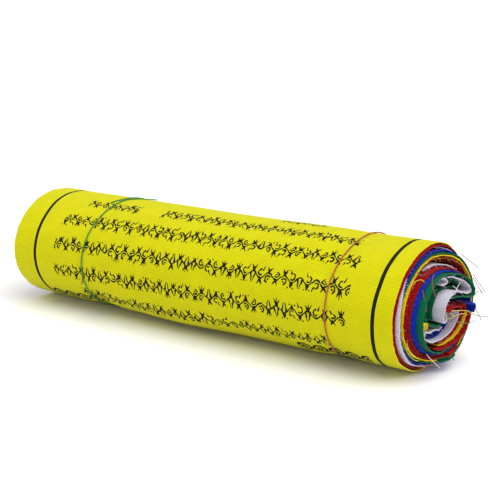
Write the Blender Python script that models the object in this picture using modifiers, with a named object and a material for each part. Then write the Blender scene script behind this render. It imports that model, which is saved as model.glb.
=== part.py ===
"""A tied roll of printed cloth flags, lying on its side.

The roll runs along X.  +Z is up and z = 0 is the surface it lies on, under
its middle.  Seen from +X, the near side is -Y and the far side +Y.  Every
flag is one thin sheet of its own, ten of them wound a turn each and the
others folded in the middle.  Lengths are in metres, angles in degrees.  An
angle round the roll starts at the top and grows towards the near side.
"""

import math
from collections import namedtuple

import bpy
from mathutils import Vector

MM = 0.001

# The roll
FLAG_WIDTH = 280 * MM
HALF_WIDTH = 43.9 * MM
HALF_HEIGHT = 35.9 * MM
HALF_HEIGHT_BELOW = 36.8 * MM      # deeper than the height, so the floor cuts a flat spot
CLOTH = 1.0 * MM
GAP = 0.3 * MM
PITCH = CLOTH + GAP                # one turn of the winding

# The winding starts at the lower far side, and each flag laps a little past one turn
SEAM = 234.0
STEP = 9.0                         # angle between two rows of points
ROWS = round(360 / STEP)           # rows of points in a turn
SEAM_GAP = 1.4                     # angle left between the end of a flag and the next one
LAP_FADE = 0.1                     # last part of the first turn, where it tucks under the lap
INNER_SPANS = 2                    # lengthwise spans of a wound sheet inside the roll

# The outer flag stands off the turns under it, except where the ties draw it in
SIDE_SLACK = 0.6 * MM
FLOOR_SLACK = 1.9 * MM

# From this turn on the winding sags away from the upper side
LOOSE_TURN = 7
LOOSE_GAP = 2.3 * MM
LOOSE_ANGLE = -14.0
LOOSE_SPREAD = 85.0

# A soft belly on the near lower side of the outer flag
BELLY = 2.2 * MM
BELLY_PLACE = 125 * MM
BELLY_LENGTH = 60 * MM
BELLY_ANGLE = 132.0
BELLY_SPREAD = 34.0

# The far upper side of the outer turns swells from the middle of the roll to its right end
SHOULDER = 2.0 * MM
SHOULDER_ANGLE = -30.0
SHOULDER_SPREAD = 58.0

# The ties
THREAD = 1.1 * MM
THREAD_CLEARANCE = 0.4 * MM
THREAD_RESOLUTION = 2
CLIMB = 0.04                       # part of a turn in which a thread climbs onto the flag's lap

SMOOTH_ANGLE = math.radians(50)
CURVE_STEPS = 3                    # points between two rows of a fold table

DYES = {
    "yellow": ("dyed_yellow_cotton", "#DCD80F", 0.85),
    "red": ("dyed_red_cotton", "#D81F1A", 0.85),
    "white": ("bleached_cotton", "#D9D3DD", 0.85),
    "blue": ("dyed_blue_cotton", "#0A3AA8", 0.85),
    "green": ("dyed_green_cotton", "#04784F", 0.85),
    "green_thread": ("green_thread", "#1E8040", 0.8),
    "red_thread": ("red_thread", "#D05028", 0.8),
}

# How full the outer flag stands along the roll: 0 where a tie draws it in, 1 at its fullest
Station = namedtuple("Station", "place fullness")
STATIONS = [
    Station(0, 0.55),
    Station(22, 0.75),
    Station(46, 0.75),
    Station(54, 0.30),
    Station(60, 0.00),
    Station(66, 0.30),
    Station(76, 1.00),
    Station(102, 1.00),
    Station(125, 1.00),
    Station(150, 1.00),
    Station(222, 1.00),
    Station(231, 0.30),
    Station(238, 0.00),
    Station(245, 0.30),
    Station(256, 0.70),
    Station(280, 0.40),
]

# The wound flags, outside to inside: the rows of points that each laps past one turn, and how
# far (mm) it stands out of the right end on each side
Wound = namedtuple("Wound", "node dye lap near top far bottom")
WOUND = [
    Wound("yellow_flag_1", "yellow", 2, -1.4, -2.5, -1.0, -1.0),
    Wound("red_flag_1", "red", 5, -0.6, -1.4, 1.0, 0.4),
    Wound("white_flag_1", "white", 1, 1.6, -4.5, 2.0, 2.4),
    Wound("blue_flag_1", "blue", 4, -0.3, -0.8, 4.5, 10.0),
    Wound("green_flag_1", "green", 7, 0.0, -0.8, 9.0, 12.0),
    Wound("yellow_flag_2", "yellow", 3, 1.5, -0.4, 8.4, 11.4),
    Wound("red_flag_2", "red", 6, 2.9, -0.8, 8.0, 12.2),
    Wound("red_flag_3", "red", 2, 4.1, 4.0, 7.0, 10.0),
    Wound("blue_flag_2", "blue", 5, 7.2, 6.2, 9.5, 10.0),
    Wound("green_flag_2", "green", 0, 10.6, 8.8, 13.6, 11.0),
]

# How fast a flag's near stand-out gives way to its top and bottom ones
NEAR_ABOVE = 2.0
NEAR_BELOW = 0.6

# The folds in the middle of the roll (mm), and how far each sheet stands out of the right end
# at the start, the middle and the end of its fold
Fold = namedtuple("Fold", "y z")
Inner = namedtuple("Inner", "node dye start middle end folds")
INNER = [
    Inner("white_flag_2", "white", -0.5, 1.0, 3.5, [
        Fold(-10.6, 59.2), Fold(-7.9, 59.7), Fold(-3.4, 60.0), Fold(1.1, 59.9),
        Fold(5.5, 59.4), Fold(9.8, 58.6), Fold(14.0, 57.4), Fold(17.9, 55.9),
        Fold(21.6, 54.0), Fold(23.4, 52.9)]),
    Inner("white_flag_3", "white", 9.0, 12.9, 11.5, [
        Fold(1.4, 54.3), Fold(7.0, 53.5), Fold(14.2, 50.9), Fold(20.6, 47.0),
        Fold(25.0, 43.6), Fold(26.0, 42.1), Fold(24.2, 41.4), Fold(18.0, 42.5),
        Fold(11.0, 44.4), Fold(4.0, 46.0), Fold(-2.0, 45.3), Fold(-6.8, 42.8),
        Fold(-9.4, 39.4), Fold(-10.4, 35.6), Fold(-9.8, 32.6), Fold(-7.2, 31.6),
        Fold(-4.8, 33.2), Fold(-4.8, 36.0)]),
    Inner("green_flag_3", "green", 7.5, 8.5, 10.5, [
        Fold(-9.0, 49.9), Fold(-16.0, 48.8), Fold(-22.0, 44.6), Fold(-23.2, 38.6),
        Fold(-20.4, 33.4), Fold(-15.2, 30.6), Fold(-9.0, 29.6), Fold(-3.6, 30.2),
        Fold(-1.8, 32.8)]),
    Inner("green_flag_4", "green", 9.0, 6.0, 7.0, [
        Fold(3.4, 52.4), Fold(7.6, 51.8), Fold(13.4, 49.6), Fold(19.2, 46.2),
        Fold(22.8, 43.7), Fold(22.0, 43.1), Fold(18.2, 43.9), Fold(11.4, 45.8),
        Fold(4.2, 47.5), Fold(-3.0, 46.7), Fold(-8.1, 43.8), Fold(-10.9, 39.9),
        Fold(-12.0, 36.2), Fold(-12.2, 33.2)]),
    Inner("white_flag_4", "white", 10.5, 9.0, 8.5, [
        Fold(13.5, 32.4), Fold(13.8, 28.6), Fold(10.5, 24.9), Fold(4.0, 22.0),
        Fold(-4.0, 20.9), Fold(-11.0, 21.1), Fold(-17.6, 22.2), Fold(-22.4, 24.6),
        Fold(-24.4, 27.4), Fold(-22.4, 28.9), Fold(-17.6, 27.4), Fold(-12.0, 28.0),
        Fold(-7.4, 26.4), Fold(-3.2, 27.4)]),
    Inner("white_flag_5", "white", 7.0, 9.0, 8.0, [
        Fold(-10.6, 53.2), Fold(-5.0, 54.6), Fold(-1.0, 53.6), Fold(0.6, 51.8),
        Fold(-1.4, 50.9), Fold(-5.2, 51.4)]),
    Inner("red_flag_4", "red", 12.6, 12.4, 9.5, [
        Fold(26.4, 28.4), Fold(22.6, 23.1), Fold(16.0, 18.7), Fold(9.0, 16.4),
        Fold(0.0, 15.7), Fold(-9.0, 16.0), Fold(-15.3, 18.2)]),
    Inner("yellow_flag_3", "yellow", 10.8, 10.4, 8.0, [
        Fold(24.0, 29.4), Fold(20.5, 24.6), Fold(15.0, 20.6), Fold(8.0, 18.1),
        Fold(0.0, 17.3), Fold(-6.0, 17.4)]),
    Inner("yellow_flag_4", "yellow", 9.0, 10.5, 9.5, [
        Fold(-26.6, 28.4), Fold(-28.3, 31.2), Fold(-28.7, 34.2), Fold(-26.3, 35.6),
        Fold(-24.4, 33.6), Fold(-24.8, 31.2)]),
    Inner("red_flag_5", "red", 8.5, 11.0, 14.5, [
        Fold(-8.0, 19.3), Fold(-4.0, 19.0), Fold(4.0, 19.2), Fold(11.0, 21.2),
        Fold(17.0, 24.8), Fold(20.8, 28.8), Fold(21.8, 31.8), Fold(20.2, 34.2),
        Fold(16.4, 36.6), Fold(12.0, 38.6), Fold(6.0, 40.7), Fold(-1.0, 42.0),
        Fold(-6.2, 40.8)]),
    Inner("blue_flag_3", "blue", 13.5, 14.5, 13.5, [
        Fold(27.8, 30.8), Fold(28.2, 33.8), Fold(26.8, 36.2), Fold(23.6, 36.9),
        Fold(20.4, 37.4)]),
    Inner("blue_flag_4", "blue", 5.0, 6.5, 8.0, [
        Fold(-14.5, 24.6), Fold(-8.6, 22.7), Fold(-3.0, 22.7), Fold(2.4, 24.6),
        Fold(4.2, 27.4)]),
]

# Two flaps hang down at the right end: how far, and from which share of their folds on
HANG_PLACE = 0.94
Hang = namedtuple("Hang", "drop share")
HANGS = {
    "red_flag_5": Hang(3.6 * MM, 0.6),
    "blue_flag_3": Hang(2.4 * MM, 0.0),
}
HANG_FADE = 0.15                   # share of the folds in which the hang grows

# The last wound flag leaves the ring at this angle and folds back across the middle
HOOK_ANGLE = -72.0
HOOK = [
    Fold(28.4, 40.2), Fold(26.8, 38.7), Fold(21.0, 39.3), Fold(14.0, 41.1),
    Fold(6.0, 42.8), Fold(-1.0, 43.9)]

# The ties: the angle round the roll and the place along it (mm) of each thread
Turn = namedtuple("Turn", "angle place")
TIES = {
    "green_tie": ("green_thread", [
        Turn(-13, 77.0), Turn(-10, 70.5), Turn(-5, 65.0), Turn(3, 61.6), Turn(24, 60.6),
        Turn(60, 59.2), Turn(90, 58.4), Turn(135, 58.0), Turn(180, 58.6), Turn(225, 59.6),
        Turn(270, 60.2), Turn(315, 60.4), Turn(350, 59.9), Turn(364, 58.8), Turn(375, 56.2)]),
    "red_tie": ("red_thread", [
        Turn(-126, 241.0), Turn(-118, 239.2), Turn(-100, 238.4), Turn(-60, 238.4),
        Turn(-20, 238.8), Turn(20, 238.4), Turn(60, 237.6), Turn(90, 237.4),
        Turn(135, 237.8), Turn(180, 237.4), Turn(225, 236.8), Turn(242, 236.6),
        Turn(250, 235.0)]),
}


def start_scene():
    """Remove the scene's objects and open a collection for the roll."""
    for old in list(bpy.data.objects):
        bpy.data.objects.remove(old, do_unlink=True)
    collection = bpy.data.collections.new("prayer_flag_roll")
    bpy.context.scene.collection.children.link(collection)
    return collection


def linear(hex_colour):
    """Turn an sRGB hex colour into linear red, green and blue."""
    channels = [int(hex_colour[place:place + 2], 16) / 255 for place in (1, 3, 5)]
    return [c / 12.92 if c <= 0.04045 else ((c + 0.055) / 1.055) ** 2.4 for c in channels]


def dye_material(dye):
    """Make the cloth or thread material of one dye."""
    name, colour, roughness = DYES[dye]
    material = bpy.data.materials.get(name)
    if material is None:
        material = bpy.data.materials.new(name)
        material.use_nodes = True
        shader = material.node_tree.nodes["Principled BSDF"]
        shader.inputs["Base Color"].default_value = (*linear(colour), 1.0)
        shader.inputs["Roughness"].default_value = roughness
        shader.inputs["Metallic"].default_value = 0.0
    return material


def read_table(rows, at):
    """Read a table of two columns at a value of its first, straight between its rows."""
    at = min(max(at, rows[0][0]), rows[-1][0])
    for (low, before), (high, after) in zip(rows, rows[1:]):
        if at <= high:
            return before + (after - before) * (at - low) / (high - low)


def fullness(x):
    """Return how full the outer flag stands at a place along the roll."""
    return read_table(STATIONS, (x + FLAG_WIDTH / 2) / MM)


def belly(x, angle):
    """Return how far the outer flag bellies out at a place and an angle."""
    along = (x + FLAG_WIDTH / 2 - BELLY_PLACE) / BELLY_LENGTH
    across = (angle - BELLY_ANGLE) / BELLY_SPREAD
    if abs(along) >= 1 or abs(across) >= 1:
        return 0.0
    return BELLY * math.cos(along * math.pi / 2) ** 2 * math.cos(across * math.pi / 2) ** 2


def shoulder(x, angle):
    """Return how far the winding swells out at a place and an angle."""
    along = max(0.0, x / (FLAG_WIDTH / 2))
    across = ((angle - SHOULDER_ANGLE + 180) % 360 - 180) / SHOULDER_SPREAD
    if abs(across) >= 1:
        return 0.0
    return SHOULDER * along * math.cos(across * math.pi / 2) ** 2


def sag(turns, angle):
    """Return how far the inner turns sag away from the outer ones at an angle."""
    across = ((angle - LOOSE_ANGLE + 180) % 360 - 180) / LOOSE_SPREAD
    if turns <= LOOSE_TURN or abs(across) >= 1:
        return 0.0
    return LOOSE_GAP * math.cos(across * math.pi / 2) ** 2


def slack(angle):
    """Return the room under the outer flag, which is widest at the floor."""
    floor_share = max(0.0, -math.cos(math.radians(angle))) ** 4
    return SIDE_SLACK + (FLOOR_SLACK - SIDE_SLACK) * floor_share


def roll_point(turns, x, lift=0.0):
    """Return the point of the winding after some turns, moved out by a lift."""
    angle = SEAM - 360 * turns
    turn = math.radians(angle)
    room = slack(angle)
    puffed = min(1.0, max(0.0, (1 - turns) / LAP_FADE))
    stand_off = puffed * (room * fullness(x) + belly(x, angle))
    if turns <= LOOSE_TURN:
        stand_off += shoulder(x, angle)
    depth = CLOTH / 2 + room + sag(turns, angle) + PITCH * turns - stand_off - lift
    height = HALF_HEIGHT if math.cos(turn) > 0 else HALF_HEIGHT_BELOW
    y = -(HALF_WIDTH - depth) * math.sin(turn)
    z = HALF_HEIGHT + (height - depth) * math.cos(turn)
    flat = CLOTH / 2 + room + PITCH * math.floor(turns) - stand_off - lift
    return y, max(z, flat)


def reach_round(flag, turns):
    """Return how far a wound flag stands out of the right end at an angle."""
    turn = math.radians(SEAM - 360 * turns)
    level = flag.top if math.cos(turn) > 0 else flag.bottom
    if math.sin(turn) > 0:
        side = flag.near
        share = math.sin(turn) ** (NEAR_ABOVE if math.cos(turn) > 0 else NEAR_BELOW)
    else:
        side, share = flag.far, -math.sin(turn)
    return (side * share + level * (1 - share)) * MM


def smooth_path(points, steps):
    """Return a smooth line through the points, with some steps between two of them."""
    knots = [Vector(p) for p in points]
    knots.insert(0, 2 * knots[0] - knots[1])
    knots.append(2 * knots[-1] - knots[-2])
    line = []
    for before, here, there, after in zip(knots, knots[1:], knots[2:], knots[3:]):
        for step in range(steps):
            t = step / steps
            line.append(0.5 * (2 * here + (there - before) * t
                               + (2 * before - 5 * here + 4 * there - after) * t ** 2
                               + (3 * here - before - 3 * there + after) * t ** 3))
    line.append(knots[-2])
    return line


def cloth_sheet(collection, node, dye, rows, spans, place_point):
    """Wrap a flat grid into a sheet and give it the cloth's thickness.

    The grid has a row of points for each step of the winding and spans along
    the roll.  place_point gives the position of a row's point at a share of
    the flag's width.
    """
    bpy.ops.mesh.primitive_grid_add(x_subdivisions=spans, y_subdivisions=rows - 1, size=1)
    sheet = bpy.context.object
    sheet.name = node
    sheet.data.name = node
    for vertex in sheet.data.vertices:
        share = vertex.co.x + 0.5
        row = round((vertex.co.y + 0.5) * (rows - 1))
        vertex.co = place_point(row, share)
    sheet.data.materials.append(dye_material(dye))
    thick = sheet.modifiers.new("cloth", "SOLIDIFY")
    thick.thickness = CLOTH
    thick.offset = 0.0
    thick.use_even_offset = True
    sheet.data.shade_smooth()
    sheet.data.set_sharp_from_angle(angle=SMOOTH_ANGLE)
    for owner in list(sheet.users_collection):
        owner.objects.unlink(sheet)
    collection.objects.link(sheet)
    return sheet


def wound_flag(collection, index, flag):
    """Make one wound flag: a turn of the winding, and for the last its folded end."""
    first = index * ROWS + (WOUND[index - 1].lap if index else 0)
    last = (index + 1) * ROWS + flag.lap
    folded_end = []
    if index == len(WOUND) - 1:
        last = index * ROWS + round((SEAM - HOOK_ANGLE) / STEP)
        tail = [roll_point(last / ROWS, 0.0)] + [(fold.y * MM, fold.z * MM) for fold in HOOK]
        folded_end = smooth_path([(0.0, y, z) for y, z in tail], CURVE_STEPS)[1:]
    turns = [row / ROWS for row in range(first, last + 1)]
    if index:
        turns[0] += SEAM_GAP / 360
    steps = last - first
    places = [(station.place * MM) / FLAG_WIDTH for station in STATIONS]
    spans = len(STATIONS) - 1 if index == 0 else INNER_SPANS

    def place_point(row, share):
        at = turns[min(row, steps)]
        share = round(share * spans) / spans
        if index == 0:
            share = places[round(share * spans)]
        x = FLAG_WIDTH * (share - 0.5)
        if share in (0.0, 1.0):
            x += reach_round(flag, at)
        if row <= steps:
            return Vector((x, *roll_point(at, x)))
        fold = folded_end[row - steps - 1]
        return Vector((x, fold.y, fold.z))

    cloth_sheet(collection, flag.node, flag.dye, steps + 1 + len(folded_end), spans, place_point)


def inner_flag(collection, flag):
    """Make one flag that lies folded in the middle of the roll."""
    line = smooth_path([(0.0, fold.y * MM, fold.z * MM) for fold in flag.folds], CURVE_STEPS)

    places = (0.0, 0.5, HANG_PLACE, 1.0)
    hang = HANGS.get(flag.node, Hang(0.0, 0.0))

    def place_point(row, share):
        share = places[round(share * (len(places) - 1))]
        along = row / (len(line) - 1)
        ends = flag.start + (flag.end - flag.start) * along
        reach = ends + (2 * flag.middle - flag.start - flag.end) * 2 * along * (1 - along)
        x = FLAG_WIDTH * (share - 0.5) + reach * MM
        grown = min(1.0, max(0.0, (along - hang.share) / HANG_FADE)) if hang.share else 1.0
        drop = hang.drop * grown if share == 1.0 else 0.0
        return Vector((x, line[row].y, line[row].z - drop))

    cloth_sheet(collection, flag.node, flag.dye, len(line), len(places) - 1, place_point)


def tie(collection, node, thread, turns):
    """Make one tie: a thread round the roll that lies in the outer flag's groove."""
    rows = range(math.ceil(turns[0].angle / STEP), math.floor(turns[-1].angle / STEP) + 1)
    angles = sorted({turn.angle for turn in turns} | {row * STEP for row in rows})
    curve = bpy.data.curves.new(node, "CURVE")
    curve.dimensions = "3D"
    curve.bevel_depth = THREAD / 2
    curve.bevel_resolution = THREAD_RESOLUTION
    curve.use_fill_caps = True
    spline = curve.splines.new("POLY")
    spline.points.add(len(angles) - 1)
    for point, angle in zip(spline.points, angles):
        x = read_table(turns, angle) * MM - FLAG_WIDTH / 2
        wound = ((SEAM - angle) % 360) / 360
        climb = min(1.0, max(0.0, (wound - 1 + 2 * CLIMB) / CLIMB))
        lift = CLOTH / 2 + THREAD_CLEARANCE + THREAD / 2 + climb * PITCH
        point.co = (x, *roll_point(wound, x, lift), 1.0)
    curve.materials.append(dye_material(thread))
    collection.objects.link(bpy.data.objects.new(node, curve))


def main():
    collection = start_scene()
    for index, flag in enumerate(WOUND):
        wound_flag(collection, index, flag)
    for flag in INNER:
        inner_flag(collection, flag)
    for node, (thread, turns) in TIES.items():
        tie(collection, node, thread, turns)


main()
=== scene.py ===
import math
import random

import bpy
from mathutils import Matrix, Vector, noise


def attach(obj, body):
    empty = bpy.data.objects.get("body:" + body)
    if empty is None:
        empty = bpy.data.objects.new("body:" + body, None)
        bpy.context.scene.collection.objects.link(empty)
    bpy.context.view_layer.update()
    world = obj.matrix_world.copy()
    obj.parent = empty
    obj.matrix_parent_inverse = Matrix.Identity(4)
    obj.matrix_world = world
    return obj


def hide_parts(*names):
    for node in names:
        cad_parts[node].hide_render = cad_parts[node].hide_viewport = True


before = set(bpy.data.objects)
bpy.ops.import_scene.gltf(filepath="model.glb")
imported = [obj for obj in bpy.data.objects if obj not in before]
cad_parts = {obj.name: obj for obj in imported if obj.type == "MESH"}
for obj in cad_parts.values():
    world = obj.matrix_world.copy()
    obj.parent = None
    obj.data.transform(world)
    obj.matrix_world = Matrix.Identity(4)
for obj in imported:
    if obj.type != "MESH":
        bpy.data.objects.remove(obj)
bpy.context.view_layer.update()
print("scene: frame loaded")

# All sizes below are millimetres. The roll runs along X with its middle at 0,
# and an angle round it starts at the top and grows towards the near side (-Y).
mm = 0.001


# Camera at the photo's angle

view = {
    "azimuth": 35.0,
    "elevation": 14.35,
    "distance": 700.0,
    "target": (17.9, 0.0, 50.9),
    "lens": 82.8,
}


def addCamera():
    turn, rise = math.radians(view["azimuth"]), math.radians(view["elevation"])
    back = Vector((math.sin(turn) * math.cos(rise), -math.cos(turn) * math.cos(rise), math.sin(rise)))
    place = (Vector(view["target"]) + back * view["distance"]) * mm
    bpy.ops.object.camera_add(location=place, rotation=back.to_track_quat("Z", "Y").to_euler())
    camera = bpy.context.object
    camera.data.lens = view["lens"]
    camera.data.clip_start = 0.01
    bpy.context.scene.camera = camera


addCamera()


# Materials

def linear(hexColour):
    parts = [int(hexColour[i:i + 2], 16) / 255 for i in (1, 3, 5)]
    return [c / 12.92 if c <= 0.04045 else ((c + 0.055) / 1.055) ** 2.4 for c in parts] + [1.0]


def addNode(tree, kind, settings=None, inputs=None):
    # settings are the node's own, and an input is a value or another node's socket
    node = tree.nodes.new(kind)
    for name, value in (settings or {}).items():
        setattr(node, name, value)
    for name, value in (inputs or {}).items():
        if isinstance(value, bpy.types.NodeSocket):
            tree.links.new(value, node.inputs[name])
        else:
            node.inputs[name].default_value = value
    return node


def vectorMath(tree, operation, inputs):
    return addNode(tree, "ShaderNodeVectorMath", {"operation": operation}, inputs)


def runSteps(tree, known, steps):
    # each step is a name, a math operation and the names or numbers that it works on
    for name, operation, *values in steps:
        inputs = {i: known[v] if isinstance(v, str) else v for i, v in enumerate(values)}
        known[name] = addNode(tree, "ShaderNodeMath", {"operation": operation}, inputs).outputs[0]
    return known


clothLook = {
    "threadPitch": 1.15,      # real threads lie 0.4 mm apart: drawn coarser so that they show
    "weaveDepth": 0.10,
    "weaveShade": 0.22,
    "ribShade": 0.13,         # the weft shows as faint ribs
    "slubSize": 9.0,
    "slubShade": (0.22, 0.90),          # how much a shade varies, and its darkest value
    "yarnStretch": (0.05, 2.2, 1.0),
    "yarnShade": (0.16, 0.92),
    "yarnRelief": 0.8,        # reliefs are shares of the weave's depth
    "crinkle": 6.0,           # fine creases from folding
    "crinkleTurn": 0.35,      # they lie a little askew, in radians
    "crinkleStretch": (0.07, 0.34, 1.0),
    "bumpStrength": 0.55,
    "roughness": 0.9,
    "sheen": 0.04,
    "sheenRoughness": 0.5,
    "specular": 0.10,
    "ink": "#0F0E05",
}

dyes = {
    "yellow": "#CAC603",
    "red": "#8E0303",
    "white": "#CAC3D1",
    "blue": "#022C98",
    "green": "#00603C",
}

# the yellow flags inside took a warmer dye bath than the outer one
innerDyes = dict(dyes, yellow="#E6C204")

# The block print: a frame of lines round rows of a running vine, in millimetres on the cloth.
# u runs along the roll from the left edge, v round it, from the crest down the near side.
printLook = {
    "firstRow": 9.9,
    "rowPitch": 17.6,
    "lastRow": 4,
    "slant": 0.024,           # the rows climb a little to the right
    "above": 0.40,            # share of a row's pitch that lies above its start
    "rowShift": 2.7,          # each row's motifs begin further on
    "rowStart": 35.0,
    "rowStop": 252.0,
    "firstRowIn": 9.0,        # the first row is shorter by this at both ends
    "firstRowGap": (93.5, 9.5),         # middle and half width of its gap
    "lastRowIn": (17.0, 15.0),          # by how much the last row starts late and stops early
    "crestRowIn": (145.0, 43.0),        # and the rows past the crest
    "wobble": 1.6,            # how far the print strays
    "cell": 5.3,              # one motif of the vine
    "stem": 0.56,             # half widths of the lines
    "line": 0.50,
    "wave": 1.7,              # how far the stem swings up and down
    "rowMiddle": 2.6,
    "motifStretch": (0.35, 0.85),
    "noLeaf": 0.12,           # share of the cells
    "curlOpen": 0.45,         # share of its radius beyond which a curl is open
    "frameLine": 1.15,
    "left": 16.3,
    "right": 265.3,
    "top": -76.0,
    "foot": 104.0,
    "bow": 2.6,               # the flag was rolled a little askew
    "bowLength": 140.0,
    "skew": 3.2,
    "skewLength": 70.0,
    "corner": (96.0, 24.0),   # corner scrolls: distance from the middle, and half their run
    "cornerRow": 92.5,
    "scroll": 10.6,
    "outerRing": (4.2, 1.0),  # radius and half width
    "innerRing": (1.5, 0.8),
    "soak": (0.3, 0.86),      # how the ink covers, at most 0.99
    "soakMost": 0.99,
}

# Motifs of the vine, each from brush strokes (from, to, half width at both ends) and curls
# (middle, radius, the side that is open): tendrils lie in its bends and leaves outside them
tendrils = [
    [("curl", (0.1, 1.7), 1.65, (-0.9, 0.5)), ("stroke", (-0.2, 1.7), (0.4, 2.1), 0.52, 0.36)],
    [("curl", (-0.2, 1.5), 1.50, (0.9, 0.3)), ("stroke", (1.0, 2.7), (2.0, 5.0), 0.55, 0.20)],
    [("stroke", (-1.5, -0.6), (-0.2, 4.2), 0.72, 0.20), ("stroke", (1.6, -0.6), (0.5, 4.0), 0.72, 0.20)],
]
leaves = [
    [("stroke", (0.0, -1.8), (-2.0, -5.2), 0.90, 0.16), ("stroke", (0.2, -1.8), (1.9, -4.9), 0.90, 0.16),
     ("stroke", (0.0, -2.4), (0.1, -5.8), 0.56, 0.16)],
    [("stroke", (0.0, -2.2), (0.0, -4.0), 1.25, 0.55), ("stroke", (-1.7, -4.3), (-1.6, -4.5), 0.46, 0.36),
     ("stroke", (1.7, -4.3), (1.6, -4.5), 0.46, 0.36)],
    [("stroke", (0.3, -2.0), (-1.8, -5.0), 0.95, 0.16), ("stroke", (0.6, -3.3), (1.6, -5.2), 0.70, 0.16)],
]


def startMaterial(name):
    material = bpy.data.materials.new(name)
    material.use_nodes = True
    tree = material.node_tree
    tree.nodes.clear()
    output = addNode(tree, "ShaderNodeOutputMaterial")
    shader = addNode(tree, "ShaderNodeBsdfPrincipled")
    tree.links.new(shader.outputs[0], output.inputs[0])
    return material, tree, shader


def clothPlace(tree):
    # the cloth's own map in millimetres
    uv = addNode(tree, "ShaderNodeUVMap", {"uv_map": "clothMap"})
    scaled = vectorMath(tree, "SCALE", {0: uv.outputs[0], "Scale": 1000.0})
    split = addNode(tree, "ShaderNodeSeparateXYZ", None, {0: scaled.outputs[0]})
    return scaled.outputs[0], {"u": split.outputs[0], "v": split.outputs[1]}


def drawnOutNoise(tree, place, stretch):
    # noise in long streaks
    drawn = vectorMath(tree, "MULTIPLY", {0: place, 1: stretch})
    streaks = addNode(tree, "ShaderNodeTexNoise", None,
                      {"Vector": drawn.outputs[0], "Scale": 1.0, "Detail": 2.0})
    return streaks.outputs[0]


def finishCloth(tree, shader, place, known, colour, printed=None):
    # plain weave: threads pass over and under, and thick threads show as faint slubs
    pitch = clothLook["threadPitch"]
    slub = addNode(tree, "ShaderNodeTexNoise", None,
                   {"Vector": place, "Scale": 1 / clothLook["slubSize"], "Detail": 5.0})
    yarn = drawnOutNoise(tree, place, clothLook["yarnStretch"])
    turned = addNode(tree, "ShaderNodeVectorRotate", {"rotation_type": "Z_AXIS"},
                     {0: place, "Angle": clothLook["crinkleTurn"]})
    crinkle = drawnOutNoise(tree, turned.outputs[0], clothLook["crinkleStretch"])
    known.update(slub=slub.outputs[0], yarn=yarn, crinkle=crinkle)
    runSteps(tree, known, [
        ("warp", "MULTIPLY", "u", math.tau / pitch),
        ("warpWave", "SINE", "warp"),
        ("weft", "MULTIPLY", "v", math.tau / pitch),
        ("weftWave", "SINE", "weft"),
        ("weave", "MULTIPLY", "warpWave", "weftWave"),
        ("slubShade", "MULTIPLY_ADD", "slub", *clothLook["slubShade"]),
        ("yarnShade", "MULTIPLY_ADD", "yarn", *clothLook["yarnShade"]),
        ("ribShade", "MULTIPLY_ADD", "weftWave", clothLook["ribShade"], 1.0),
        ("weaveShade", "MULTIPLY_ADD", "weave", clothLook["weaveShade"], "ribShade"),
        ("unevenShade", "MULTIPLY", "slubShade", "yarnShade"),
        ("shade", "MULTIPLY", "unevenShade", "weaveShade"),
        ("threadRelief", "MULTIPLY_ADD", "yarn", clothLook["yarnRelief"], "weave"),
        ("relief", "MULTIPLY_ADD", "crinkle", clothLook["crinkle"], "threadRelief"),
    ])
    tint = vectorMath(tree, "SCALE", {0: colour[:3], "Scale": known["shade"]})
    base = tint.outputs[0]
    if printed is not None:
        inked = addNode(tree, "ShaderNodeMix", {"data_type": "RGBA"},
                        {0: printed, 6: base, 7: linear(clothLook["ink"])})
        base = inked.outputs[2]
    bump = addNode(tree, "ShaderNodeBump", None,
                   {"Strength": clothLook["bumpStrength"], "Distance": clothLook["weaveDepth"] * mm,
                    "Height": known["relief"]})
    tree.links.new(base, shader.inputs["Base Color"])
    tree.links.new(bump.outputs[0], shader.inputs["Normal"])
    shader.inputs["Roughness"].default_value = clothLook["roughness"]
    shader.inputs["Sheen Weight"].default_value = clothLook["sheen"]
    shader.inputs["Sheen Roughness"].default_value = clothLook["sheenRoughness"]
    shader.inputs["Specular IOR Level"].default_value = clothLook["specular"]


def plainCloth(dye):
    # dyed plain-weave cotton: matt, with a faint grid of threads and uneven dye
    material, tree, shader = startMaterial(dye + " woven cotton")
    place, known = clothPlace(tree)
    finishCloth(tree, shader, place, known, linear(innerDyes[dye]))
    return material


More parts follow.
